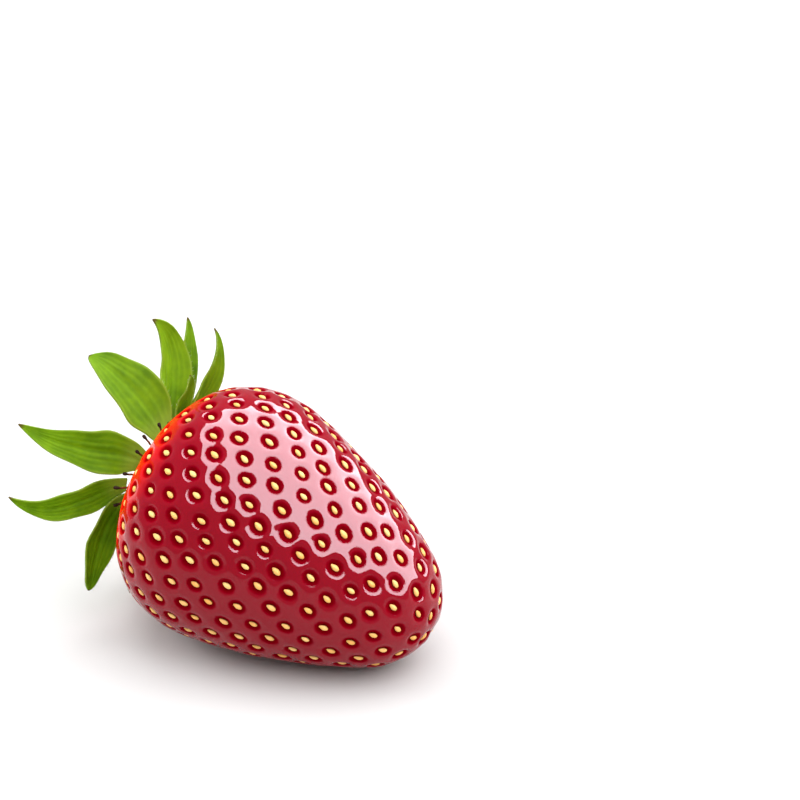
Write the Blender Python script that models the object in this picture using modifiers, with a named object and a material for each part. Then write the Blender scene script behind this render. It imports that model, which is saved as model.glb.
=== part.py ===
"""One ripe strawberry, as picked, lying on its side on a flat surface.

The pieces are the fleshy berry, the floral cup that it sits in, the cut stalk, the sepals and the
smaller bracts between them, and the dried stamens left between sepals and berry.

Every piece is modelled in the berry's own frame: the origin is the seat of the floral cup on the
flesh, +X runs to the berry's tip, and angles round the axis are counted from +Z towards -Y. One
empty then lays the whole fruit down, and puts the world origin at the bottom centre of its box.
The berry's skin is smooth here: its seeds and their pits belong to its finish.
"""

import math

import bmesh
import bpy
from mathutils import Matrix, Vector

MM = 0.001

# Driving dimensions. SAG is how far the belly hangs out of the straight axis.
BERRY_LENGTH = 47.2 * MM
BERRY_RADIUS = 18.9 * MM
SAG = Vector((0.0, -0.5, 0.8)) * MM
TIP_DOWN = math.radians(16.5)
PRESSED_DEPTH = 0.45 * MM

CUP_RADIUS = 5.3 * MM
CUP_THICKNESS = 1.5 * MM
CLEARANCE = 0.3 * MM

STALK_RADIUS = 1.05 * MM
BLADE_THICKNESS = 0.45 * MM
STAMEN_RADIUS = 0.17 * MM

# The berry's outline: distance along the axis as a share of its length, and radius as a share of
# its largest radius. It starts on the flat seat of the cup, climbs over the shoulder behind the
# seat, and closes on the axis at the blunt tip.
BERRY_OUTLINE = (
    (0.000, 0.000),
    (0.000, 0.290),
    (-0.004, 0.400),
    (0.002, 0.530),
    (0.030, 0.690),
    (0.088, 0.850),
    (0.180, 0.970),
    (0.300, 1.000),
    (0.430, 0.950),
    (0.560, 0.860),
    (0.700, 0.730),
    (0.830, 0.575),
    (0.925, 0.420),
    (0.985, 0.200),
    (1.000, 0.000),
)

SIDES_AROUND = 44
RINGS_ALONG = 30


def clear_scene():
    for old in list(bpy.data.objects):
        bpy.data.objects.remove(old, do_unlink=True)


def make_material(name, colour, roughness, metallic=0.0):
    material = bpy.data.materials.new(name)
    material.use_nodes = True
    shader = material.node_tree.nodes["Principled BSDF"]
    shader.inputs["Base Color"].default_value = (*colour, 1.0)
    shader.inputs["Roughness"].default_value = roughness
    shader.inputs["Metallic"].default_value = metallic
    return material


def make_object(name, data, material, collection, parent):
    made = bpy.data.objects.new(name, data)
    made.data.materials.append(material)
    collection.objects.link(made)
    made.parent = parent
    return made


def mesh_from(bm, name):
    bmesh.ops.recalc_face_normals(bm, faces=bm.faces)
    mesh = bpy.data.meshes.new(name)
    bm.to_mesh(mesh)
    bm.free()
    mesh.shade_smooth()
    return mesh


def outward(angle):
    """The unit vector square to the berry's axis, at an angle counted from +Z towards -Y."""
    return Vector((0.0, -math.sin(angle), math.cos(angle)))


def around(angle):
    """The unit vector along the direction in which that angle grows."""
    return Vector((0.0, -math.cos(angle), -math.sin(angle)))


def smooth_between(points, share):
    """A Catmull-Rom curve through evenly spaced points, for a share from 0 to 1."""
    place = share * (len(points) - 1)
    step = min(int(place), len(points) - 2)
    t = place - step
    before = points[max(step - 1, 0)]
    start = points[step]
    end = points[step + 1]
    after = points[min(step + 2, len(points) - 1)]
    found = []
    for a, b, c, d in zip(before, start, end, after):
        bend = 2 * a - 5 * b + 4 * c - d
        twist = -a + 3 * b - 3 * c + d
        found.append(0.5 * (2 * b + (c - a) * t + bend * t * t + twist * t**3))
    return found


# The berry ---------------------------------------------------------------------------------------


def belly(along):
    """0 at the seat and at the tip, and 1 halfway between them."""
    return math.sin(math.pi * min(max(along, 0.0), 1.0))


def swell(along, angle):
    """How much fuller or leaner than round the flesh is there: three soft lobes, a little flat."""
    lobes = 0.039 * math.cos(3 * angle) - 0.018 * math.cos(2 * angle)
    return 1.0 + belly(along) * lobes


def berry_point(share, angle):
    """A point on the skin: share 0 is the middle of the cup's seat, and 1 is the tip."""
    along, radius = smooth_between(BERRY_OUTLINE, share)
    radius = max(radius, 0.0) * BERRY_RADIUS * swell(along, angle)
    middle = Vector((along * BERRY_LENGTH, 0.0, 0.0)) + SAG * belly(along)
    return middle + outward(angle) * radius


def floor_direction():
    """Straight down, as seen in the berry's own frame."""
    return Vector((math.sin(TIP_DOWN), 0.0, -math.cos(TIP_DOWN)))


def make_berry(material, collection, parent):
    bm = bmesh.new()
    bmesh.ops.create_uvsphere(bm, u_segments=SIDES_AROUND, v_segments=RINGS_ALONG, radius=1.0)
    for vertex in bm.verts:
        share = math.acos(max(-1.0, min(1.0, vertex.co.z))) / math.pi
        angle = math.atan2(vertex.co.y, vertex.co.x)
        vertex.co = berry_point(share, angle)
    down = floor_direction()
    lowest = max(vertex.co.dot(down) for vertex in bm.verts)
    pressed = down * (lowest - PRESSED_DEPTH)
    everything = bm.verts[:] + bm.edges[:] + bm.faces[:]
    cut = bmesh.ops.bisect_plane(bm, geom=everything, plane_co=pressed, plane_no=down, clear_outer=True)
    rim = [part for part in cut["geom_cut"] if isinstance(part, bmesh.types.BMEdge)]
    bmesh.ops.holes_fill(bm, edges=rim)
    mesh = mesh_from(bm, "berry_flesh")
    mesh.set_sharp_from_angle(angle=math.radians(50))
    return make_object("berry_flesh", mesh, material, collection, parent)


# The floral cup and the stalk --------------------------------------------------------------------


def make_cup(material, collection, parent):
    """A shallow dish, turned about the axis: flat towards the flesh and domed towards the stalk."""
    front = -CLEARANCE
    back = front - CUP_THICKNESS
    neck = back - 0.5 * MM
    outline = (
        (front, 0.0),
        (front, CUP_RADIUS - 0.5 * MM),
        (front - 0.45 * MM, CUP_RADIUS),
        (front - 1.0 * MM, CUP_RADIUS - 0.25 * MM),
        (back, 3.2 * MM),
        (neck, 1.9 * MM),
        (neck, 0.0),
    )
    mesh = bpy.data.meshes.new("floral_cup")
    points = [(radius, 0.0, -along) for along, radius in outline]
    edges = [(i, i + 1) for i in range(len(points) - 1)]
    mesh.from_pydata(points, edges, [])
    made = make_object("floral_cup", mesh, material, collection, parent)
    made.matrix_local = Matrix.Rotation(math.radians(-90), 4, "Y")
    turn = made.modifiers.new("turn", "SCREW")
    turn.axis = "Z"
    turn.steps = 28
    turn.render_steps = 28
    turn.use_merge_vertices = True
    turn.merge_threshold = 0.00005
    turn.use_normal_calculate = True
    return made


def make_tube(name, points, radii, sides, material, collection, parent):
    """A round, tapering tube through its points, closed at both ends."""
    curve = bpy.data.curves.new(name, "CURVE")
    curve.dimensions = "3D"
    curve.bevel_depth = 1.0
    curve.bevel_resolution = sides
    curve.use_fill_caps = True
    spline = curve.splines.new("POLY")
    spline.points.add(len(points) - 1)
    for knot, point, radius in zip(spline.points, points, radii):
        knot.co = (*point, 1.0)
        knot.radius = radius
    return make_object(name, curve, material, collection, parent)


def bezier(knots, t):
    """A point of the cubic Bezier curve with these four knots."""
    s = 1.0 - t
    return s**3 * knots[0] + 3 * s * s * t * knots[1] + 3 * s * t * t * knots[2] + t**3 * knots[3]


STALK_KNOTS_MM = ((-2.65, 0.0, 0.0), (-4.6, 0.0, 0.1), (-6.2, -0.3, -1.0), (-7.8, -0.4, -2.6))


def make_stalk(material, collection, parent):
    """The cut end of the stalk, bending away from the cup."""
    knots = [Vector(knot) * MM for knot in STALK_KNOTS_MM]
    count = 9
    shares = [i / (count - 1) for i in range(count)]
    points = [bezier(knots, t) for t in shares]
    radii = [STALK_RADIUS * (1.0 + 0.45 * (1.0 - t) ** 4) for t in shares]
    return make_tube("stalk", points, radii, 3, material, collection, parent)


# The sepals and bracts ---------------------------------------------------------------------------

# Each blade leaves the cup at its own angle round the axis. Its tip is given in millimetres in
# the berry's frame, bow is how far the outer part of its midrib stands off the straight line to
# the tip, and width, roll (degrees, soon after the base), twist (degrees more, by the tip) and
# hollow (how far the edges curl up towards the berry, as a share of the half width) shape it.
# Row 0 joins the rim of the cup near its front, and row 1 joins it further back.
BLADES = {
    "sepal_1": dict(
        row=0, angle=0, tip=(-14.4, -4.0, 14.7), bow=(-0.3, -1.7, 3.8),
        width=8.3, roll=-18, twist=0, hollow=0.2,
    ),
    "sepal_2": dict(
        row=1, angle=-32, tip=(-10.8, 5.5, 19.2), bow=(-0.3, 7.0, -0.4),
        width=6.8, roll=0, twist=-42, hollow=0.3,
    ),
    "sepal_3": dict(
        row=0, angle=-62, tip=(-5.2, 14.2, 17.2), bow=(2.9, 3.7, -1.5),
        width=5.0, roll=13, twist=-41, hollow=0.4,
    ),
    "sepal_4": dict(
        row=0, angle=55, tip=(-17.3, -14.3, 5.5), bow=(4.5, -0.6, -1.2),
        width=6.2, roll=0, twist=3, hollow=0.2,
    ),
    "sepal_5": dict(
        row=0, angle=121, tip=(-1.2, -12.1, -16.7), bow=(-0.2, -1.7, -2.3),
        width=5.2, roll=34, twist=4, hollow=0.3,
    ),
    "sepal_6": dict(
        row=1, angle=190, tip=(-5.0, 4.0, -17.0), bow=(-0.5, -0.3, -1.0),
        width=5.8, roll=0, twist=0, hollow=0.2,
    ),
    "sepal_7": dict(
        row=0, angle=255, tip=(-7.0, 16.5, 1.0), bow=(0.5, 1.0, 0.0),
        width=6.8, roll=0, twist=0, hollow=0.2,
    ),
    "bract_1": dict(
        row=0, angle=-33, tip=(-3.3, 6.7, 12.9), bow=(0.5, 1.4, 1.2),
        width=2.7, roll=-10, twist=-10, hollow=0.3,
    ),
    "bract_2": dict(
        row=1, angle=-72, tip=(-10.5, 15.0, 16.0), bow=(0.0, 2.5, 0.0),
        width=4.6, roll=-30, twist=-20, hollow=0.2,
    ),
    "bract_3": dict(
        row=1, angle=98, tip=(-15.2, -16.4, -5.5), bow=(3.6, -1.5, -3.5),
        width=4.6, roll=14, twist=11, hollow=0.25,
    ),
    "bract_4": dict(
        row=0, angle=160, tip=(2.0, -5.4, -18.8), bow=(-2.4, 0.0, -0.5),
        width=4.6, roll=0, twist=0, hollow=0.2,
    ),
    "bract_5": dict(
        row=1, angle=224, tip=(-8.0, 13.0, -11.5), bow=(0.0, 1.0, -1.0),
        width=4.8, roll=0, twist=0, hollow=0.2,
    ),
}

CELLS_ACROSS = 4
CELLS_ALONG = 9

# How far behind the seat the first row joins the rim, how far the second is behind the first, how
# much each blade leans back as it leaves, and how far along the midrib its two bends are.
ROW_DEPTH = 1.75 * MM
ROW_STEP = 0.8 * MM
LEAN_BACK = 0.7
FIRST_BEND = 0.30
SECOND_BEND = 0.68


def blade_width(share):
    """The half width as a share of the largest: a broad base, full at two fifths, a fine tip."""
    base = 0.45 + 0.55 * math.sin(min(share / 0.42, 1.0) * math.pi / 2)
    return base * (1.0 - share**2.3) ** 0.9 / 0.9 + 0.02


def blade_point(blade, share, side):
    """A point of a blade's middle surface: share runs from base to tip, and side from -1 to 1."""
    angle = math.radians(blade["angle"])
    root = outward(angle) * (CUP_RADIUS + 2 * CLEARANCE)
    root.x = -(ROW_DEPTH + ROW_STEP * blade["row"])
    tip = Vector(blade["tip"]) * MM
    leaving = (outward(angle) + Vector((-LEAN_BACK, 0.0, 0.0))).normalized()
    first = root + leaving * (tip - root).length * FIRST_BEND
    second = root.lerp(tip, SECOND_BEND) + Vector(blade["bow"]) * MM
    knots = (root, first, second, tip)
    middle = bezier(knots, share)
    tangent = (bezier(knots, share + 0.01) - bezier(knots, share - 0.01)).normalized()
    across = around(angle)
    across = (across - across.dot(tangent) * tangent).normalized()
    turn = math.radians(blade["roll"] * min(share * 2, 1.0) + blade["twist"] * share)
    across = Matrix.Rotation(turn, 3, tangent) @ across
    inward = tangent.cross(across)
    half = blade["width"] * MM / 2 * blade_width(share)
    curl = blade["hollow"] * half * side * side * min(share * 2.5, 1.0)
    return middle + across * half * side + inward * curl


def make_blade(name, blade, material, collection, parent):
    bm = bmesh.new()
    bmesh.ops.create_grid(bm, x_segments=CELLS_ACROSS, y_segments=CELLS_ALONG, size=1.0)
    for vertex in bm.verts:
        side = vertex.co.x
        share = (vertex.co.y + 1.0) / 2
        vertex.co = blade_point(blade, share, side)
    mesh = mesh_from(bm, name)
    made = make_object(name, mesh, material, collection, parent)
    shell = made.modifiers.new("thickness", "SOLIDIFY")
    shell.thickness = BLADE_THICKNESS
    shell.offset = 0.0
    return made


# The stamens -------------------------------------------------------------------------------------

STAMEN_COUNT = 18
STAMEN_ROOT_RADIUS = 5.75 * MM


def make_stamen(index, material, collection, parent):
    """A dried thread, rooted between the cup and the flesh, and curving out and back."""
    angle = math.radians((index + 0.5) * 360 / STAMEN_COUNT + 2 * math.sin(index * 2.4))
    length = (2.7 + 0.5 * math.sin(index * 1.7 + 0.5)) * MM
    lean = 0.18 * math.sin(index * 3.1)
    root = outward(angle) * STAMEN_ROOT_RADIUS
    root.x = -0.75 * MM
    back = Vector((-1.0, 0.0, 0.0))
    knots = (
        root,
        root + (outward(angle) * 0.75 + back * 0.30) * length * 0.4,
        root + (outward(angle) * 0.95 + back * 0.30 + around(angle) * lean) * length * 0.75,
        root + (outward(angle) * 0.95 + back * 0.40 + around(angle) * lean * 1.6) * length,
    )
    shares = (0.0, 0.25, 0.5, 0.75, 0.9, 1.0)
    points = [bezier(knots, t) for t in shares]
    radii = [STAMEN_RADIUS * (1.7 if t > 0.7 else 1.0) for t in shares]
    name = f"stamen_{index + 1:02d}"
    return make_tube(name, points, radii, 1, material, collection, parent)


# Assembly ----------------------------------------------------------------------------------------


def lay_down(pose, pieces):
    """Tips the fruit on to its side and puts the origin at the bottom centre of its box."""
    pose.rotation_euler = (0.0, TIP_DOWN, 0.0)
    bpy.context.view_layer.update()
    graph = bpy.context.evaluated_depsgraph_get()
    corners = []
    for piece in pieces:
        evaluated = piece.evaluated_get(graph)
        mesh = evaluated.to_mesh()
        corners += [evaluated.matrix_world @ vertex.co for vertex in mesh.vertices]
        evaluated.to_mesh_clear()
    low = Vector([min(corner[i] for corner in corners) for i in range(3)])
    high = Vector([max(corner[i] for corner in corners) for i in range(3)])
    pose.location = (-(low.x + high.x) / 2, -(low.y + high.y) / 2, -low.z)


def main():
    clear_scene()
    collection = bpy.data.collections.new("strawberry")
    bpy.context.scene.collection.children.link(collection)
    pose = bpy.data.objects.new("strawberry_pose", None)
    collection.objects.link(pose)

    flesh = make_material("flesh", (0.55, 0.01, 0.01), 0.22)
    cup_green = make_material("cup_green", (0.42, 0.55, 0.12), 0.55)
    stalk_green = make_material("stalk_green", (0.40, 0.52, 0.14), 0.55)
    blade_green = make_material("blade_green", (0.13, 0.33, 0.03), 0.5)
    stamen_brown = make_material("stamen_brown", (0.16, 0.03, 0.01), 0.6)

    pieces = [
        make_berry(flesh, collection, pose),
        make_cup(cup_green, collection, pose),
        make_stalk(stalk_green, collection, pose),
    ]
    for name, blade in BLADES.items():
        pieces.append(make_blade(name, blade, blade_green, collection, pose))
    for index in range(STAMEN_COUNT):
        pieces.append(make_stamen(index, stamen_brown, collection, pose))
    lay_down(pose, pieces)


main()
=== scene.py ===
"""The looks of one ripe strawberry, as picked and lying on its side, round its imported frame.

Every piece is first shaped in the berry's own frame, as its CAD solid was: the origin is the seat
of the floral cup on the flesh, +X runs to the berry's tip, and angles round the axis are counted
from +Z towards -Y. It is then laid down in the CAD frame. Lengths are in metres.
"""

import bisect
import math
import random

import bmesh
import bpy
from mathutils import Matrix, Vector, kdtree, noise


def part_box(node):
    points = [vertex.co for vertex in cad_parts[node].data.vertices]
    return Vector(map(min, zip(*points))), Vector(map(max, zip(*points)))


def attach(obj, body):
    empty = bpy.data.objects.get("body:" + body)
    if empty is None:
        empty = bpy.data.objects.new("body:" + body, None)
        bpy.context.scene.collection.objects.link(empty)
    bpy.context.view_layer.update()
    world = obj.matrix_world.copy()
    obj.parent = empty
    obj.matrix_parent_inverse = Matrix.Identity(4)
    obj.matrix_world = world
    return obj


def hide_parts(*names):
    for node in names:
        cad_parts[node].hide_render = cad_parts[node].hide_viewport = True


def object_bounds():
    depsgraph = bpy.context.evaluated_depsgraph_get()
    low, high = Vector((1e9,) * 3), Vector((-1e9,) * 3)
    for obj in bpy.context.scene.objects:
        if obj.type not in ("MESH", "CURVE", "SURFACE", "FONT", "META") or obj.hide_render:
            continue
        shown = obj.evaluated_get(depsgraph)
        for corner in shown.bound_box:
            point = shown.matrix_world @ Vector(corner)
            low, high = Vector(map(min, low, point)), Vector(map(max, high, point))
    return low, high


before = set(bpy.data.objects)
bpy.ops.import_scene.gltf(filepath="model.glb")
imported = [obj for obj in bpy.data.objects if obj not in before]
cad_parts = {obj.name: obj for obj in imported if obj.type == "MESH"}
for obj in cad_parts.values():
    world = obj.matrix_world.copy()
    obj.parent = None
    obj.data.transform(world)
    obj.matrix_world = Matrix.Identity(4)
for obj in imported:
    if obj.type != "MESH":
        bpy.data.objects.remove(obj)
cad_low, cad_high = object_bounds()


# The skin ----------------------------------------------------------------------------------------
# The swollen base of a flower, in one glossy red skin: pale next to the calyx, orange on the
# shoulder and deep red below. It is drawn in round every seed, and flat where the berry lies.

MM = 0.001

BERRY_LENGTH = 47.2 * MM
BERRY_RADIUS = 18.9 * MM
SAG = Vector((0.0, -0.5, 0.8)) * MM
THREE_LOBES = 0.039
TWO_LOBES = -0.018
LUMPS = 0.011
LUMP_SIZE = 7 * MM
TIP_DOWN = math.radians(16.5)

# Distance along the axis as a share of the length, and radius as a share of the largest one.
BERRY_OUTLINE = (
    (0.000, 0.000),
    (0.000, 0.290),
    (-0.004, 0.400),
    (0.002, 0.530),
    (0.030, 0.690),
    (0.088, 0.850),
    (0.180, 0.970),
    (0.300, 1.000),
    (0.430, 0.950),
    (0.560, 0.860),
    (0.700, 0.730),
    (0.830, 0.575),
    (0.925, 0.420),
    (0.985, 0.200),
    (1.000, 0.000),
)

SKIN_SIDES = 410
SKIN_RINGS = 234
OUTLINE_STEPS = 1500

SEED_COUNT = 400
SEEDLESS_RADIUS = 8.2 * MM
GOLDEN_ANGLE = math.radians(137.508)
SEED_TWIST = math.radians(-13)
PIT_REACH = 2.05 * MM
PIT_DEPTH = 0.95 * MM
PIT_STEEPNESS = 2.4
PIT_LENGTHENING = 1.18

# The skin is unripe within the first distance of the seat's middle, and ripe beyond the second.
UNRIPE_REACH = 7.8 * MM
RIPE_REACH = 24.0 * MM

PALE_GREEN = (0.50, 0.46, 0.07, 1.0)
SHOULDER_ORANGE = (0.90, 0.07, 0.008, 1.0)
BRIGHT_RED = (0.85, 0.006, 0.0015, 1.0)
DEEP_RED = (0.24, 0.0005, 0.009, 1.0)
# Painted shade inside the pits.
PIT_SHADE_RED = (0.13, 0.0003, 0.0012, 1.0)


class Wire:
    """A value on its way through a finish's nodes. Arithmetic on it adds Math nodes."""

    def __init__(self, finish, socket):
        self.finish = finish
        self.socket = socket

    def __add__(self, other):
        return self.reckon("ADD", self, other)

    def __sub__(self, other):
        return self.reckon("SUBTRACT", self, other)

    def __rsub__(self, other):
        return self.reckon("SUBTRACT", other, self)

    def __mul__(self, other):
        return self.reckon("MULTIPLY", self, other)

    __radd__ = __add__
    __rmul__ = __mul__

    def reckon(self, operation, first, second):
        return add(self.finish, "Math", {"operation": operation}, {0: first, 1: second})


def add(finish, kind, settings, sockets, out=0):
    """Adds one node: its settings come first, then the values or links of its sockets."""
    node = finish.node_tree.nodes.new("ShaderNode" + kind)
    for name, value in settings.items():
        if name == "stops":
            set_stops(node.color_ramp, value)
        else:
            setattr(node, name, value)
    for name, value in sockets.items():
        feed(finish, node.inputs[name], value)
    return Wire(finish, node.outputs[out])


def set_stops(ramp, stops):
    """Gives a colour ramp its stops, each a place from 0 to 1 and a colour."""
    while len(ramp.elements) < len(stops):
        ramp.elements.new(0.5)
    for element, (place, colour) in zip(ramp.elements, stops):
        element.position = place
        element.color = colour


def feed(finish, socket, value):
    if isinstance(value, Wire):
        finish.node_tree.links.new(value.socket, socket)
    else:
        socket.default_value = value


def blend(finish, share, first, second, how="MIX"):
    """Mixes two colours."""
    settings = {"data_type": "RGBA", "blend_type": how}
    return add(finish, "Mix", settings, {0: share, 6: first, 7: second}, out=2)


def between(finish, value, low, high):
    """0 below low and 1 above high, with a smooth step between them."""
    settings = {"interpolation_type": "SMOOTHSTEP"}
    sockets = {"Value": value, "From Min": low, "From Max": high}
    return add(finish, "MapRange", settings, sockets)


def attribute(finish, name):
    """A number kept on the mesh's points."""
    return add(finish, "Attribute", {"attribute_name": name}, {}, out="Fac")


def mottle(finish, size, detail=3.0):
    """Soft random patches of about this size in metres, from 0 to 1."""
    place = add(finish, "TexCoord", {}, {}, out="Object")
    return add(finish, "TexNoise", {}, {"Vector": place, "Scale": 1.0 / size, "Detail": detail})


def bumps(finish, height, strength, depth):
    """Small relief: a height from 0 to 1 stands for this depth in metres."""
    return add(finish, "Bump", {}, {"Strength": strength, "Distance": depth, "Height": height})


def new_finish(name, **constants):
    """A material with one Principled shader, whose sockets are given by name with _ for a space."""
    finish = bpy.data.materials.new(name)
    finish.use_nodes = True
    dress(finish, **constants)
    return finish


def dress(finish, **values):
    shader = finish.node_tree.nodes["Principled BSDF"]
    for name, value in values.items():
        feed(finish, shader.inputs[name.replace("_", " ")], value)


def outward(angle):
    """The unit vector square to the berry's axis, at an angle counted from +Z towards -Y."""
    return Vector((0.0, -math.sin(angle), math.cos(angle)))


def around(angle):
    """The unit vector along the direction in which that angle grows."""
    return Vector((0.0, -math.cos(angle), -math.sin(angle)))


def smooth_between(points, share):
    """A Catmull-Rom curve through evenly spaced points, for a share from 0 to 1."""
    place = share * (len(points) - 1)
    step = min(int(place), len(points) - 2)
    t = place - step
    before = points[max(step - 1, 0)]
    start = points[step]
    end = points[step + 1]
    after = points[min(step + 2, len(points) - 1)]
    found = []
    for a, b, c, d in zip(before, start, end, after):
        bend = 2 * a - 5 * b + 4 * c - d
        twist = -a + 3 * b - 3 * c + d
        found.append(0.5 * (2 * b + (c - a) * t + bend * t * t + twist * t**3))
    return found


def belly(along):
    """0 at the seat and at the tip, and 1 halfway between them."""
    return math.sin(math.pi * min(max(along, 0.0), 1.0))


def skin_point(share, angle):
    """A point on the skin, without its pits: share 0 is the middle of the seat, and 1 is the tip."""
    along, radius = smooth_between(BERRY_OUTLINE, share)
    lobes = THREE_LOBES * math.cos(3 * angle) + TWO_LOBES * math.cos(2 * angle)
    radius = max(radius, 0.0) * BERRY_RADIUS * (1.0 + belly(along) * lobes)
    middle = Vector((along * BERRY_LENGTH, 0.0, 0.0)) + SAG * belly(along)
    lumps = 1.0 + LUMPS * noise.noise((middle + outward(angle) * radius) / LUMP_SIZE)
    return middle + outward(angle) * radius * lumps


def outline_totals():
    """Distance and area of skin from the middle of the seat, at even steps of share."""
    distance = [0.0]
    area = [0.0]
    before = Vector((0.0, 0.0))
    for step in range(1, OUTLINE_STEPS + 1):
        along, radius = smooth_between(BERRY_OUTLINE, step / OUTLINE_STEPS)
        here = Vector((along * BERRY_LENGTH, max(radius, 0.0) * BERRY_RADIUS))
        stretch = (here - before).length
        distance.append(distance[-1] + stretch)
        area.append(area[-1] + math.pi * (here.y + before.y) * stretch)
        before = here
    return distance, area


def share_where(totals, wanted):
    """The share at which a running total reaches the wanted amount."""
    step = min(max(bisect.bisect_left(totals, wanted), 1), OUTLINE_STEPS)
    part = (wanted - totals[step - 1]) / (totals[step] - totals[step - 1])
    return (step - 1 + part) / OUTLINE_STEPS


def laid_down():
    """The berry's own frame in the CAD frame: tipped down, with its top and middle on the CAD's."""
    rings = 60
    sides = 72
    tilt = Matrix.Rotation(TIP_DOWN, 4, "Y")
    points = []
    for ring in range(rings + 1):
        for side in range(sides):
            points.append(tilt @ skin_point(ring / rings, math.radians(360 / sides * side)))
    low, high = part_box("berry_flesh")
    middle_x = (min(point.x for point in points) + max(point.x for point in points)) / 2
    middle_y = (min(point.y for point in points) + max(point.y for point in points)) / 2
    top = max(point.z for point in points)
    shift = ((low.x + high.x) / 2 - middle_x, (low.y + high.y) / 2 - middle_y, high.z - top)
    return Matrix.Translation(shift) @ tilt


BERRY_FRAME = laid_down()
UP = BERRY_FRAME.to_3x3().inverted() @ Vector((0.0, 0.0, 1.0))


def depth_below_floor(point):
    """How far a point in the berry's own frame would lie under the floor."""
    return -(BERRY_FRAME @ point).z


def make_piece(name, bm, finish):
    """Turns a shape in the berry's own frame into a piece with its place in its mesh."""
    bm.transform(BERRY_FRAME)
    mesh = bpy.data.meshes.new(name)
    bm.to_mesh(mesh)
    bm.free()
    mesh.shade_smooth()
    mesh.materials.append(finish)
    piece = bpy.data.objects.new(name, mesh)
    bpy.context.scene.collection.objects.link(piece)
    return piece


class SeedPlace:
    """Where one seed sits: a point on the skin, the way to the tip, the way round, and out."""

    def __init__(self, share, angle, turn, scale):
        self.point = skin_point(share, angle)
        onward = skin_point(share + 0.002, angle) - skin_point(share - 0.002, angle)
        sideways = skin_point(share, angle + 0.02) - skin_point(share, angle - 0.02)
        self.out = sideways.cross(onward).normalized()
        self.onward = Matrix.Rotation(turn, 3, self.out) @ onward.normalized()
        self.across = self.onward.cross(self.out).normalized()
        self.scale = scale

    def reach(self, point):
        """How far a point is from the seed, where a step along the seed counts for less."""
        step = point - self.point
        return math.hypot(step.dot(self.onward) / PIT_LENGTHENING, step.dot(self.across)) / self.scale


def seed_places():
    """Every seed has the same area of skin, and stands a golden angle round from the last one."""
    chance = random.Random(11)
    _, area = outline_totals()
    bare = next(i for i in range(OUTLINE_STEPS) if skin_point(i / OUTLINE_STEPS, 0).z > SEEDLESS_RADIUS)
    places = []
    for index in range(SEED_COUNT):
        wanted = area[bare] + (area[-1] - area[bare]) * (index + 0.5) / SEED_COUNT
        share = min(share_where(area, wanted) + chance.uniform(-0.003, 0.003), 0.995)
        angle = index * GOLDEN_ANGLE + chance.uniform(-0.02, 0.02)
        turn = SEED_TWIST + chance.uniform(-0.15, 0.15)
        places.append(SeedPlace(share, angle, turn, chance.uniform(0.9, 1.08)))
    return places


SEEDS = seed_places()


def pit_depth(reach):
    """How deep the skin lies at this reach from a seed: a steep wall that eases into a soft rim."""
    return PIT_DEPTH * max(0.0, 1.0 - reach / PIT_REACH) ** PIT_STEEPNESS


def smooth_step(value, low, high):
    """0 below low and 1 above high, with a smooth step between them."""
    t = min(max((value - low) / (high - low), 0.0), 1.0)
    return t * t * (3 - 2 * t)


def shape_skin():
    """The skin from seat to tip, sunk round every seed and lifted to the floor underneath."""
    distance, _ = outline_totals()
    bm = bmesh.new()
    bmesh.ops.create_grid(bm, x_segments=SKIN_SIDES, y_segments=SKIN_RINGS, size=1.0)
    for vertex in bm.verts:
        part = (vertex.co.y + 1.0) / 2
        angle = (vertex.co.x + 1.0) * math.pi
        vertex.co = skin_point(share_where(distance, part * distance[-1]), angle)
    bmesh.ops.remove_doubles(bm, verts=bm.verts, dist=0.001 * MM)
    bmesh.ops.recalc_face_normals(bm, faces=bm.faces)
    bm.normal_update()
    nearby = kdtree.KDTree(len(SEEDS))
    for index, seed in enumerate(SEEDS):
        nearby.insert(seed.point, index)
    nearby.balance()
    pit = bm.verts.layers.float.new("pit")
    ripeness = bm.verts.layers.float.new("ripeness")
    sunk = []
    for vertex in bm.verts:
        near = [SEEDS[found[1]].reach(vertex.co) for found in nearby.find_n(vertex.co, 2)]
        vertex[pit] = min(min(near) / PIT_REACH, 1.0)
        vertex[ripeness] = smooth_step(vertex.co.length, UNRIPE_REACH, RIPE_REACH)
        sunk.append(vertex.co - vertex.normal * sum(pit_depth(reach) for reach in near))
    for vertex, place in zip(bm.verts, sunk):
        vertex.co = place + UP * max(depth_below_floor(place), 0.0)
    return bm


def skin_finish():
    """Wet red skin. The gloss stops at the pits' rims, and painted shade darkens the pits."""
    finish = new_finish(
        "glossy_red_skin",
        Subsurface_Weight=0.18,
        Subsurface_Radius=(1.0, 0.12, 0.08),
        Subsurface_Scale=1.2 * MM,
        Coat_Roughness=0.035,
        Coat_IOR=1.33,
        Specular_IOR_Level=0.0,
    )
    ripe = attribute(finish, "ripeness") + (mottle(finish, 5 * MM) - 0.5) * 0.2
    stops = ((0.01, PALE_GREEN), (0.09, SHOULDER_ORANGE), (0.24, BRIGHT_RED), (0.75, DEEP_RED))
    colour = add(finish, "ValToRGB", {"stops": stops}, {"Fac": ripe})
    pit = attribute(finish, "pit")
    # Painted shade: the red darkens inside each pit, where shade falls round the seed.
    inside = 1 - between(finish, pit, 0.35, 0.62)
    colour = blend(finish, inside * 0.8 * between(finish, ripe, 0.0, 0.4), colour, PIT_SHADE_RED)
    dress(
        finish,
        Base_Color=colour,
        Roughness=0.38 + mottle(finish, 1.5 * MM) * 0.12,
        Coat_Weight=between(finish, pit, 0.50, 0.62),
        Normal=bumps(finish, mottle(finish, 0.5 * MM), 0.25, 0.1 * MM),
    )
    return finish


skin = make_piece("berry_skin", shape_skin(), skin_finish())
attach(skin, "root")
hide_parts("berry_flesh")


# The seeds ---------------------------------------------------------------------------------------
# Each is a tiny hard nut that grew on the skin: a flattened drop, golden, with its point towards
# the calyx. It sits in the bottom of its pit, so that its back is just below the skin around.

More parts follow.
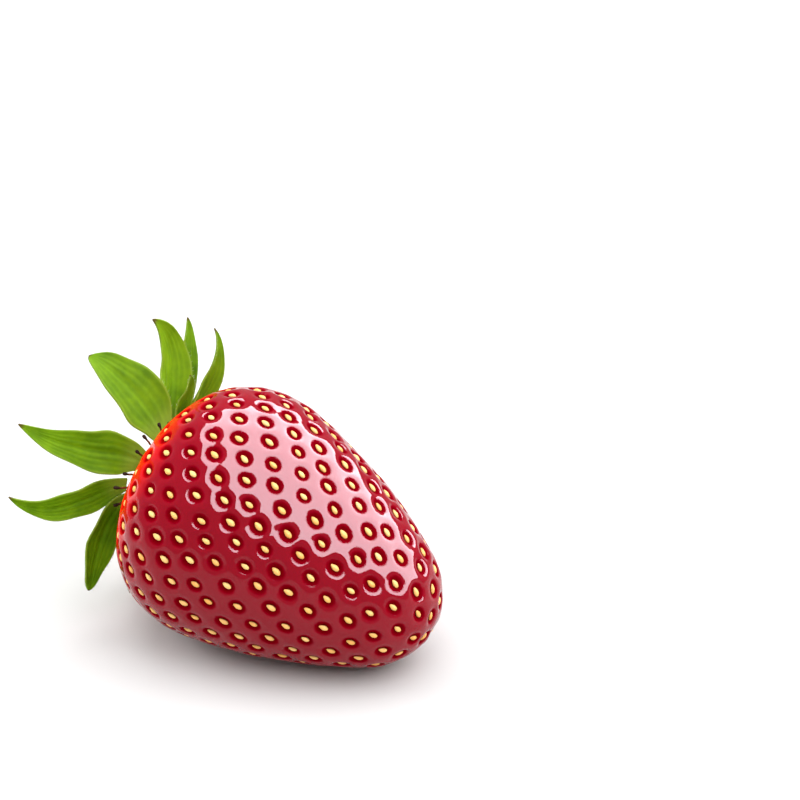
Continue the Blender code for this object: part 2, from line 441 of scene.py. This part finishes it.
SEED_LENGTH = 1.40 * MM
SEED_WIDTH = 0.83 * MM
SEED_THICKNESS = 0.66 * MM
SEED_SINK = 0.42 * MM
SEED_LIFT = 0.05 * MM
SEED_GOLD = (0.80, 0.36, 0.07, 1.0)
SEED_CREAM = (0.97, 0.66, 0.26, 1.0)
# Painted shade on the seed's sunken side.
SEED_SHADE_BROWN = (0.22, 0.04, 0.004, 1.0)


def seed_drop():
    """One seed at the origin, its point towards -Z and its back towards +Y."""
    bm = bmesh.new()
    bmesh.ops.create_uvsphere(bm, u_segments=8, v_segments=6, radius=0.5)
    height = bm.verts.layers.float.new("height")
    for vertex in bm.verts:
        across, deep, along = vertex.co
        narrow = 1.0 - 0.28 * smooth_step(-along, -0.1, 0.5)
        vertex[height] = deep + 0.5
        vertex.co = (across * SEED_WIDTH * narrow, deep * SEED_THICKNESS * narrow, along * SEED_LENGTH)
    bmesh.ops.recalc_face_normals(bm, faces=bm.faces)
    drop = bpy.data.meshes.new("seed_drop")
    bm.to_mesh(drop)
    bm.free()
    return drop


def shape_seeds():
    """All the seeds in one mesh. Under the pressed patch they are pushed up off the floor."""
    chance = random.Random(5)
    drop = seed_drop()
    bm = bmesh.new()
    tone = bm.verts.layers.float.new("tone")
    for seed in SEEDS:
        bm.from_mesh(drop)
        bm.verts.ensure_lookup_table()
        shade = chance.random()
        turn = Matrix((seed.across, seed.out, seed.onward)).transposed()
        place = seed.point - seed.out * SEED_SINK
        made = bm.verts[-len(drop.vertices):]
        for vertex in made:
            vertex[tone] = shade
            vertex.co = place + turn @ vertex.co * seed.scale
        lift = max(depth_below_floor(vertex.co) for vertex in made) + SEED_LIFT
        bmesh.ops.translate(bm, verts=made, vec=UP * max(lift, 0.0))
    return bm


def seed_finish():
    finish = new_finish("golden_seed", Roughness=0.35, Specular_IOR_Level=0.05)
    tone = attribute(finish, "tone") * 0.6 + mottle(finish, 0.6 * MM) * 0.4
    colour = blend(finish, tone, SEED_GOLD, SEED_CREAM)
    # Painted shade: the seed darkens on its lower half, where it sits sunk in its pit.
    rim = 1 - between(finish, attribute(finish, "height"), 0.45, 0.68)
    dress(finish, Base_Color=blend(finish, rim, colour, SEED_SHADE_BROWN))
    return finish


seeds = make_piece("seeds", shape_seeds(), seed_finish())
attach(seeds, "root")


# The floral cup ----------------------------------------------------------------------------------
# The disc of pale green tissue that the sepals and stamens grow from. It is joined to the flesh at
# its seat, and narrows at the back into the stalk.

CUP_RADIUS = 5.3 * MM
CLEARANCE = 0.3 * MM
CUP_OUTLINE = (
    (-0.30, 0.00),
    (-0.30, 2.40),
    (-0.32, 4.60),
    (-0.75, 5.30),
    (-1.30, 5.00),
    (-1.80, 3.20),
    (-2.25, 1.95),
    (-2.30, 0.00),
)
CUP_GREEN = (0.33, 0.42, 0.09, 1.0)
CUP_YELLOW = (0.56, 0.52, 0.16, 1.0)


def cup_point(share, angle):
    """A point on the cup, with a slight flute for each sepal."""
    along, radius = smooth_between(CUP_OUTLINE, share)
    flute = 1.0 + 0.02 * math.cos(10 * angle) * math.sin(math.pi * share)
    return Vector((along * MM, 0.0, 0.0)) + outward(angle) * max(radius, 0.0) * MM * flute


def wrapped_ball(sides, rings, place):
    """A ball whose every point goes where place(share from pole to pole, angle round) says."""
    bm = bmesh.new()
    bmesh.ops.create_uvsphere(bm, u_segments=sides, v_segments=rings, radius=1.0)
    for vertex in bm.verts:
        share = math.acos(max(-1.0, min(1.0, vertex.co.z))) / math.pi
        vertex.co = place(share, math.atan2(vertex.co.y, vertex.co.x))
    bmesh.ops.recalc_face_normals(bm, faces=bm.faces)
    return bm


def cup_finish():
    finish = new_finish(
        "pale_cup",
        Roughness=0.55,
        Specular_IOR_Level=0.02,
        Subsurface_Weight=0.15,
        Subsurface_Scale=0.6 * MM,
    )
    colour = blend(finish, mottle(finish, 1.6 * MM), CUP_GREEN, CUP_YELLOW)
    dress(finish, Base_Color=colour, Normal=bumps(finish, mottle(finish, 0.3 * MM), 0.5, 0.1 * MM))
    return finish


cup = make_piece("cup_tissue", wrapped_ball(80, 40, cup_point), cup_finish())
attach(cup, "root")
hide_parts("floral_cup")


# The stalk ---------------------------------------------------------------------------------------
# What is left of the green stalk after picking. It flares into the back of the cup, is ribbed and
# finely downy, and ends in a flat cut.

STALK_RADIUS = 1.05 * MM
STALK_KNOTS = ((-2.65, 0.0, 0.0), (-4.6, 0.0, 0.1), (-6.2, -0.3, -1.0), (-7.8, -0.4, -2.6))
STALK_CAP = 0.09
STALK_GREEN = (0.24, 0.36, 0.07, 1.0)
STALK_CREAM = (0.58, 0.58, 0.28, 1.0)


def bezier(knots, t):
    """A point of the cubic Bezier curve with these four knots."""
    s = 1.0 - t
    return s**3 * knots[0] + 3 * s * s * t * knots[1] + 3 * s * t * t * knots[2] + t**3 * knots[3]


def tube_place(knots, radius_at, cap, start):
    """Where the points of a tube along a curve go: its ends close over a cap's share of the ball."""

    def place(share, angle):
        t = min(max((share - cap) / (1.0 - 2 * cap), 0.0), 1.0)
        closing = min(share / cap, (1.0 - share) / cap, 1.0)
        tangent = (bezier(knots, t + 0.01) - bezier(knots, t - 0.01)).normalized()
        first = (start - start.dot(tangent) * tangent).normalized()
        second = tangent.cross(first)
        radius = radius_at(t, angle) * closing
        return bezier(knots, t) + (first * math.cos(angle) + second * math.sin(angle)) * radius

    return place


def stalk_radius(t, angle):
    return STALK_RADIUS * (1.0 + 0.45 * (1.0 - t) ** 4) * (1.0 + 0.035 * math.cos(9 * angle))


def stalk_finish():
    finish = new_finish("downy_stalk", Roughness=0.6, Specular_IOR_Level=0.02)
    colour = blend(finish, mottle(finish, 1.2 * MM), STALK_GREEN, STALK_CREAM)
    dress(finish, Base_Color=colour, Normal=bumps(finish, mottle(finish, 0.25 * MM), 0.5, 0.1 * MM))
    return finish


stalk_knots = [Vector(knot) * MM for knot in STALK_KNOTS]
stalk_place = tube_place(stalk_knots, stalk_radius, STALK_CAP, Vector((0.0, 0.0, 1.0)))
stalk = make_piece("stalk_stub", wrapped_ball(36, 44, stalk_place), stalk_finish())
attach(stalk, "root")
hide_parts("stalk")


# The sepals and bracts ---------------------------------------------------------------------------
# The green leaves of the calyx: broad sepals, and the narrower bracts between and behind them.
# Each grows from the rim of the cup, is folded a little along its midrib, and is veined, downy
# and thin enough to let some light through.

# Each blade's row is 0 at the front of the cup's rim and 1 further back. Its tip and its bow, how
# far the outer midrib stands off the straight line to the tip, are in millimetres. Roll (soon
# after the base) and twist (more by the tip) are in degrees. Hollow is how far its edges curl up
# towards the berry, as a share of its half width.
BLADES = {
    "sepal_1": dict(
        row=0, angle=0, tip=(-14.4, -4.0, 14.7), bow=(-0.3, -1.7, 3.8),
        width=8.3, roll=-18, twist=0, hollow=0.2,
    ),
    "sepal_2": dict(
        row=1, angle=-32, tip=(-10.8, 5.5, 19.2), bow=(-0.3, 7.0, -0.4),
        width=6.8, roll=0, twist=-42, hollow=0.3,
    ),
    "sepal_3": dict(
        row=0, angle=-62, tip=(-5.2, 14.2, 17.2), bow=(2.9, 3.7, -1.5),
        width=5.0, roll=13, twist=-41, hollow=0.4,
    ),
    "sepal_4": dict(
        row=0, angle=55, tip=(-17.3, -14.3, 5.5), bow=(4.5, -0.6, -1.2),
        width=6.2, roll=0, twist=3, hollow=0.2,
    ),
    "sepal_5": dict(
        row=0, angle=121, tip=(-1.2, -12.1, -16.7), bow=(-0.2, -1.7, -2.3),
        width=5.2, roll=34, twist=4, hollow=0.3,
    ),
    "sepal_6": dict(
        row=1, angle=190, tip=(-5.0, 4.0, -17.0), bow=(-0.5, -0.3, -1.0),
        width=5.8, roll=0, twist=0, hollow=0.2,
    ),
    "sepal_7": dict(
        row=0, angle=255, tip=(-7.0, 16.5, 1.0), bow=(0.5, 1.0, 0.0),
        width=6.8, roll=0, twist=0, hollow=0.2,
    ),
    "bract_1": dict(
        row=0, angle=-33, tip=(-3.3, 6.7, 12.9), bow=(0.5, 1.4, 1.2),
        width=2.7, roll=-10, twist=-10, hollow=0.3,
    ),
    "bract_2": dict(
        row=1, angle=-72, tip=(-10.5, 15.0, 16.0), bow=(0.0, 2.5, 0.0),
        width=4.6, roll=-30, twist=-20, hollow=0.2,
    ),
    "bract_3": dict(
        row=1, angle=98, tip=(-15.2, -16.4, -5.5), bow=(3.6, -1.5, -3.5),
        width=4.6, roll=14, twist=11, hollow=0.25,
    ),
    "bract_4": dict(
        row=0, angle=160, tip=(2.0, -5.4, -18.8), bow=(-2.4, 0.0, -0.5),
        width=4.6, roll=0, twist=0, hollow=0.2,
    ),
    "bract_5": dict(
        row=1, angle=224, tip=(-8.0, 13.0, -11.5), bow=(0.0, 1.0, -1.0),
        width=4.8, roll=0, twist=0, hollow=0.2,
    ),
}

# How far behind the seat the first row joins the rim, how far the second is behind the first, how
# much each blade leans back as it leaves, and how far along the midrib its two bends are.
ROW_DEPTH = 1.75 * MM
ROW_STEP = 0.8 * MM
LEAN_BACK = 0.7
FIRST_BEND = 0.30
SECOND_BEND = 0.68

BLADE_CELLS_ACROSS = 26
BLADE_CELLS_ALONG = 52
BLADE_THICKNESS = 0.26 * MM
VEIN_HEIGHT = 0.07 * MM
FOLD_DEPTH = 0.30 * MM
LEAF_LIGHT = (0.19, 0.35, 0.004, 1.0)
LEAF_MIDDLE = (0.095, 0.21, 0.0015, 1.0)
LEAF_DARK = (0.035, 0.095, 0.0005, 1.0)
LEAF_RIM = (0.26, 0.38, 0.04, 1.0)
LEAF_TIP = (0.10, 0.055, 0.012, 1.0)
LEAF_BASE = (0.36, 0.46, 0.06, 1.0)
LEAF_GLOW = (0.30, 0.62, 0.006, 1.0)


def blade_width(share):
    """The half width as a share of the largest: a broad base, full at two fifths, a fine tip."""
    base = 0.45 + 0.55 * math.sin(min(share / 0.42, 1.0) * math.pi / 2)
    return base * (1.0 - share**2.3) ** 0.9 / 0.9 + 0.02


def blade_frame(blade, share):
    """The midrib's point, the way across, and the way towards the berry."""
    angle = math.radians(blade["angle"])
    root = outward(angle) * (CUP_RADIUS + 2 * CLEARANCE)
    root.x = -(ROW_DEPTH + ROW_STEP * blade["row"])
    tip = Vector(blade["tip"]) * MM
    leaving = (outward(angle) + Vector((-LEAN_BACK, 0.0, 0.0))).normalized()
    first = root + leaving * (tip - root).length * FIRST_BEND
    second = root.lerp(tip, SECOND_BEND) + Vector(blade["bow"]) * MM
    knots = (root, first, second, tip)
    tangent = (bezier(knots, share + 0.01) - bezier(knots, share - 0.01)).normalized()
    across = around(angle)
    across = (across - across.dot(tangent) * tangent).normalized()
    turn = blade["roll"] * min(share * 2, 1.0) + blade["twist"] * share
    across = Matrix.Rotation(math.radians(turn), 3, tangent) @ across
    return bezier(knots, share), across, tangent.cross(across)


def blade_point(blade, share, side):
    """A point of a blade's middle surface: share runs from base to tip, and side from -1 to 1."""
    middle, across, inward = blade_frame(blade, share)
    phase = math.radians(blade["angle"]) * 3
    wave = 1.0 + 0.035 * math.sin(share * 19 + phase + 2 * side) * abs(side)
    half = blade["width"] * MM / 2 * blade_width(share) * wave
    curl = blade["hollow"] * half * side * side * min(share * 2.5, 1.0)
    fold = FOLD_DEPTH * math.exp(-((side / 0.12) ** 2)) * math.sin(math.pi * min(share + 0.1, 1.0))
    veins = VEIN_HEIGHT * math.cos(7.4 * math.pi * side) * (1.0 - abs(side)) * belly(share)
    ruffle = 0.25 * MM * math.sin(share * 14 + phase) * side**3 * belly(share)
    return middle + across * half * side + inward * (curl - fold + veins + ruffle)


def shape_blade(blade):
    bm = bmesh.new()
    bmesh.ops.create_grid(bm, x_segments=BLADE_CELLS_ACROSS, y_segments=BLADE_CELLS_ALONG, size=1.0)
    flat = bm.loops.layers.uv.new("blade")
    for face in bm.faces:
        for loop in face.loops:
            side, along, _ = loop.vert.co
            loop[flat].uv = ((side + 1.0) / 2, (along + 1.0) / 2)
    for vertex in bm.verts:
        side, along, _ = vertex.co
        vertex.co = blade_point(blade, (along + 1.0) / 2, side)
    bmesh.ops.recalc_face_normals(bm, faces=bm.faces)
    return bm


def leaf_finish(name, shade):
    """Leaf green with veins, mottling, a pale rim and a dry tip: shade 0 paints it lit, 1 shaded."""
    finish = new_finish(name, Specular_IOR_Level=0.02)
    flat = add(finish, "UVMap", {"uv_map": "blade"}, {})
    side = add(finish, "SeparateXYZ", {}, {"Vector": flat}, out=0)
    along = add(finish, "SeparateXYZ", {}, {"Vector": flat}, out=1)
    edge = add(finish, "Math", {"operation": "ABSOLUTE"}, {0: side * 2 - 1})
    patches = mottle(finish, 2.6 * MM) * 0.9 + mottle(finish, 0.7 * MM) * 0.35
    # Painted light and shade: the shade argument darkens the whole leaf.
    darkness = patches - 0.62 + shade - along * 0.25
    streaks = add(finish, "Math", {"operation": "SINE"}, {0: side * 46 + mottle(finish, 3 * MM) * 7})
    darkness = darkness + streaks * 0.09
    stops = ((0.0, LEAF_LIGHT), (0.5, LEAF_MIDDLE), (1.0, LEAF_DARK))
    colour = add(finish, "ValToRGB", {"stops": stops}, {"Fac": darkness})
    rim = between(finish, edge + mottle(finish, 0.8 * MM) * 0.06, 0.93, 1.0)
    colour = blend(finish, rim * 0.7, colour, LEAF_RIM)
    colour = blend(finish, 0.8 - between(finish, along, 0.0, 0.26) * 0.8, colour, LEAF_BASE)
    colour = blend(finish, between(finish, along, 0.955, 0.99), colour, LEAF_TIP)
    cross = add(finish, "TexVoronoi", {"feature": "DISTANCE_TO_EDGE"}, {"Scale": 1400.0})
    relief = streaks * 0.3 + between(finish, cross, 0.0, 0.25)
    dress(
        finish,
        Base_Color=colour,
        Roughness=0.42 + mottle(finish, 1.0 * MM) * 0.2,
        Normal=bumps(finish, relief, 0.35, 0.08 * MM),
    )
    glow = add(finish, "BsdfTranslucent", {}, {"Color": LEAF_GLOW})
    surface = finish.node_tree.nodes["Principled BSDF"].outputs[0]
    mixed = add(finish, "MixShader", {}, {0: 0.16, 1: Wire(finish, surface), 2: glow})
    feed(finish, finish.node_tree.nodes["Material Output"].inputs["Surface"], mixed)
    return finish


# Painted light and shade: leaves in light get a lit copy of the green, those in shade a shaded one.
LIT_LEAVES = ("sepal_2",)
SHADED_LEAVES = ("sepal_5", "bract_1")

painted_lit_leaf = leaf_finish("leaf_green_painted_lit", 0.25)
middle_leaf = leaf_finish("leaf_green_middle", 0.45)
painted_shaded_leaf = leaf_finish("leaf_green_painted_shade", 0.62)

for name, blade in BLADES.items():
    finish = painted_lit_leaf if name in LIT_LEAVES else painted_shaded_leaf if name in SHADED_LEAVES else middle_leaf
    leaf = make_piece(f"{name}_leaf", shape_blade(blade), finish)
    wall = leaf.modifiers.new("thickness", "SOLIDIFY")
    wall.thickness = BLADE_THICKNESS
    wall.offset = 0.0
    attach(leaf, "root")
    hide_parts(name)


# The stamens -------------------------------------------------------------------------------------
# The dried threads of the flower, rooted between cup and flesh. Each has shrivelled red-brown and
# ends in the dark, crumpled remains of its anther.

STAMEN_COUNT = 18
STAMEN_RADIUS = 0.17 * MM
STAMEN_ROOT_RADIUS = 5.75 * MM
STAMEN_BROWN = (0.10, 0.008, 0.004, 1.0)
STAMEN_AMBER = (0.22, 0.05, 0.01, 1.0)
ANTHER_BLACK = (0.025, 0.012, 0.008, 1.0)


def stamen_knots(index):
    """The threads nearest the viewer have dried least, and are the longest."""
    angle = math.radians((index + 0.5) * 360 / STAMEN_COUNT + 2 * math.sin(index * 2.4))
    length = (2.7 + 0.5 * math.sin(index * 1.7 + 0.5) + 0.7 * max(math.sin(angle), 0.0)) * MM
    lean = 0.3 * math.sin(index * 3.1)
    back = Vector((-1.0, 0.0, 0.0))
    root = outward(angle) * STAMEN_ROOT_RADIUS - Vector((0.75, 0.0, 0.0)) * MM
    return (
        root,
        root + (outward(angle) * 0.75 + back * 0.30) * length * 0.4,
        root + (outward(angle) * 0.95 + back * 0.30 + around(angle) * lean) * length * 0.75,
        root + (outward(angle) * 0.95 + back * 0.45 + around(angle) * lean * 1.6) * length,
    )


def stamen_radius(t, angle):
    """A crinkled thread, and the anther's swollen end."""
    anther = smooth_step(t, 0.74, 0.88) * (0.55 + 0.3 * math.sin(3 * angle + 20 * t))
    return STAMEN_RADIUS * (0.9 + 0.12 * math.sin(30 * t + angle) + anther)


def stamen_finish():
    finish = new_finish("dried_stamen", Roughness=0.6, Specular_IOR_Level=0.02)
    colour = blend(finish, mottle(finish, 0.9 * MM), STAMEN_BROWN, STAMEN_AMBER)
    dress(finish, Base_Color=blend(finish, attribute(finish, "anther"), colour, ANTHER_BLACK))
    return finish


dried = stamen_finish()

for index in range(STAMEN_COUNT):
    knots = stamen_knots(index)
    thread = wrapped_ball(10, 30, tube_place(knots, stamen_radius, 0.04, around(0.3)))
    anther = thread.verts.layers.float.new("anther")
    for vertex in thread.verts:
        reach = (vertex.co - knots[0]).length / (knots[3] - knots[0]).length
        vertex[anther] = smooth_step(reach, 0.68, 0.82)
    stamen = make_piece(f"dried_stamen_{index + 1:02d}", thread, dried)
    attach(stamen, "root")
    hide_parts(f"stamen_{index + 1:02d}")


# The down ----------------------------------------------------------------------------------------
# Fine pale hairs along the edges of the sepals and bracts, all leaning out and towards the leaf's
# tip. They are part of the leaf's own skin.

HAIRS_PER_EDGE = 30
HAIR_LENGTH = 0.55 * MM
HAIR_RADIUS = 0.035 * MM
HAIR_WHITE = (0.72, 0.80, 0.48, 1.0)


def add_hair(bm, root, direction, length):
    """One hair: a slim three-sided cone that leans a little."""
    made = bmesh.ops.create_cone(
        bm, cap_ends=True, segments=3, radius1=HAIR_RADIUS, radius2=0.0, depth=length
    )
    turn = direction.to_track_quat("Z", "Y").to_matrix().to_4x4()
    place = Matrix.Translation(root + direction * length / 2) @ turn
    bmesh.ops.transform(bm, matrix=place, verts=made["verts"])


def shape_down():
    chance = random.Random(3)
    bm = bmesh.new()
    for blade in BLADES.values():
        for side in (-1.0, 1.0):
            for index in range(HAIRS_PER_EDGE):
                share = 0.06 + 0.9 * (index + chance.random()) / HAIRS_PER_EDGE
                root = blade_point(blade, share, side)
                away = (root - blade_point(blade, share, side * 0.8)).normalized()
                ahead = (blade_point(blade, share + 0.02, side) - root).normalized()
                wild = Vector((chance.uniform(-1, 1), chance.uniform(-1, 1), chance.uniform(-1, 1)))
                direction = (away + ahead * 0.8 + wild * 0.35).normalized()
                add_hair(bm, root - away * 0.05 * MM, direction, HAIR_LENGTH * chance.uniform(0.6, 1.2))
    bmesh.ops.recalc_face_normals(bm, faces=bm.faces)
    return bm


down_finish = new_finish("pale_down", Roughness=0.5, Specular_IOR_Level=0.02)
dress(down_finish, Base_Color=blend(down_finish, mottle(down_finish, 2 * MM), HAIR_WHITE, LEAF_RIM))
down = make_piece("calyx_down", shape_down(), down_finish)
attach(down, "root")


# The floor ---------------------------------------------------------------------------------------
# A plain pale sheet under the berry, wide enough to fill every view.

FLOOR_SIZE = 6.0
FLOOR_GAP = 0.02 * MM
FLOOR_GREY = 0.56


def floor_finish():
    finish = new_finish("pale_sheet", Roughness=0.9, Specular_IOR_Level=0.0)
    cloud = mottle(finish, 0.4) * 0.01 + FLOOR_GREY
    dress(finish, Base_Color=add(finish, "CombineColor", {}, {0: cloud, 1: cloud, 2: cloud}))
    return finish


floor_bm = bmesh.new()
bmesh.ops.create_grid(floor_bm, x_segments=1, y_segments=1, size=FLOOR_SIZE / 2)
bmesh.ops.translate(floor_bm, verts=floor_bm.verts, vec=(0.0, 0.0, -FLOOR_GAP))
floor_mesh = bpy.data.meshes.new("floor")
floor_bm.to_mesh(floor_mesh)
floor_bm.free()
floor_mesh.materials.append(floor_finish())
floor = bpy.data.objects.new("floor", floor_mesh)
bpy.context.scene.collection.objects.link(floor)


# The light ---------------------------------------------------------------------------------------
# One large soft box hangs over the berry. A bright lamp in it shows only in the gloss, and a weaker
# one lights the colours. A panel on the left and a soft glow all round fill the shadows.


def hang_light(name, centre, facing, sideways, width, height, radiance, shows_in, colour):
    """An area light that shines along -facing, its width along sideways, in gloss or in colour."""
    light = bpy.data.lights.new(name, "AREA")
    light.shape = "RECTANGLE"
    light.size = width
    light.size_y = height
    light.color = colour
    light.energy = radiance * math.pi * width * height
    facing = Vector(facing).normalized()
    first = (Vector(sideways) - Vector(sideways).dot(facing) * facing).normalized()
    second = facing.cross(first)
    made = bpy.data.objects.new(name, light)
    axes = Matrix((first, second, facing)).transposed()
    made.matrix_world = Matrix.Translation(centre) @ axes.to_4x4()
    made.visible_glossy = shows_in == "gloss"
    made.visible_diffuse = shows_in == "colour"
    bpy.context.scene.collection.objects.link(made)


SOFT_BOX_FACING = Vector((0.459, -0.145, 0.875))
SOFT_BOX_SIDE = Vector((0.655, 0.722, -0.224))
SOFT_BOX_RISE = Vector((-0.600, 0.676, 0.427))
SOFT_BOX_CORNER = Vector((0.170, -0.699, 0.479))
SOFT_BOX_WIDTH = 1.73
SOFT_BOX_HEIGHT = 1.9
SOFT_BOX_CENTRE = (
    SOFT_BOX_CORNER + SOFT_BOX_SIDE * SOFT_BOX_WIDTH / 2 + SOFT_BOX_RISE * SOFT_BOX_HEIGHT / 2
)
SOFT_BOX = dict(
    facing=SOFT_BOX_FACING,
    sideways=SOFT_BOX_SIDE,
    width=SOFT_BOX_WIDTH,
    height=SOFT_BOX_HEIGHT,
)
WHITE = (1.0, 1.0, 1.0)
PALE_LAVENDER = (0.96, 0.91, 1.0)

# The lamp for the gloss hangs just in front of the other: two in one place would hide each other.
LAMP_GAP = 0.02

hang_light("soft_box", SOFT_BOX_CENTRE, radiance=2.6, shows_in="colour", colour=WHITE, **SOFT_BOX)
hang_light(
    "soft_box_gloss",
    SOFT_BOX_CENTRE - SOFT_BOX_FACING * LAMP_GAP,
    radiance=22.0,
    shows_in="gloss",
    colour=PALE_LAVENDER,
    **SOFT_BOX,
)
hang_light(
    "left_panel",
    (-1.2, -0.2, 0.6),
    facing=(-0.9, -0.15, 0.45),
    sideways=(-0.15, 0.9, 0.0),
    width=1.2,
    height=0.9,
    radiance=6.0,
    shows_in="colour",
    colour=WHITE,
)

world = bpy.data.worlds.new("dim_studio")
world.use_nodes = True
glow = world.node_tree.nodes["Background"]
glow.inputs["Color"].default_value = (1.0, 1.0, 1.0, 1.0)
glow.inputs["Strength"].default_value = 0.46
bpy.context.scene.world = world
bpy.context.scene.view_settings.view_transform = "Standard"


# The camera --------------------------------------------------------------------------------------
# A long lens from the berry's right front, looking a little down on it.

AZIMUTH = math.radians(30.1)
ELEVATION = math.radians(24.5)
CAMERA_DISTANCE = 321.3 * MM
AIM_FROM_MIDDLE = Vector((16.25, 16.26, 12.33)) * MM

cad_middle = (cad_low + cad_high) / 2
back = Vector((
    math.sin(AZIMUTH) * math.cos(ELEVATION),
    -math.cos(AZIMUTH) * math.cos(ELEVATION),
    math.sin(ELEVATION),
))
lens = bpy.data.cameras.new("camera")
lens.lens = 100.0
lens.sensor_width = 36.0
lens.clip_start = 0.01
lens.clip_end = 20.0
camera = bpy.data.objects.new("camera", lens)
camera.location = cad_middle + AIM_FROM_MIDDLE + back * CAMERA_DISTANCE
camera.rotation_euler = back.to_track_quat("Z", "Y").to_euler()
bpy.context.scene.collection.objects.link(camera)
bpy.context.scene.camera = camera
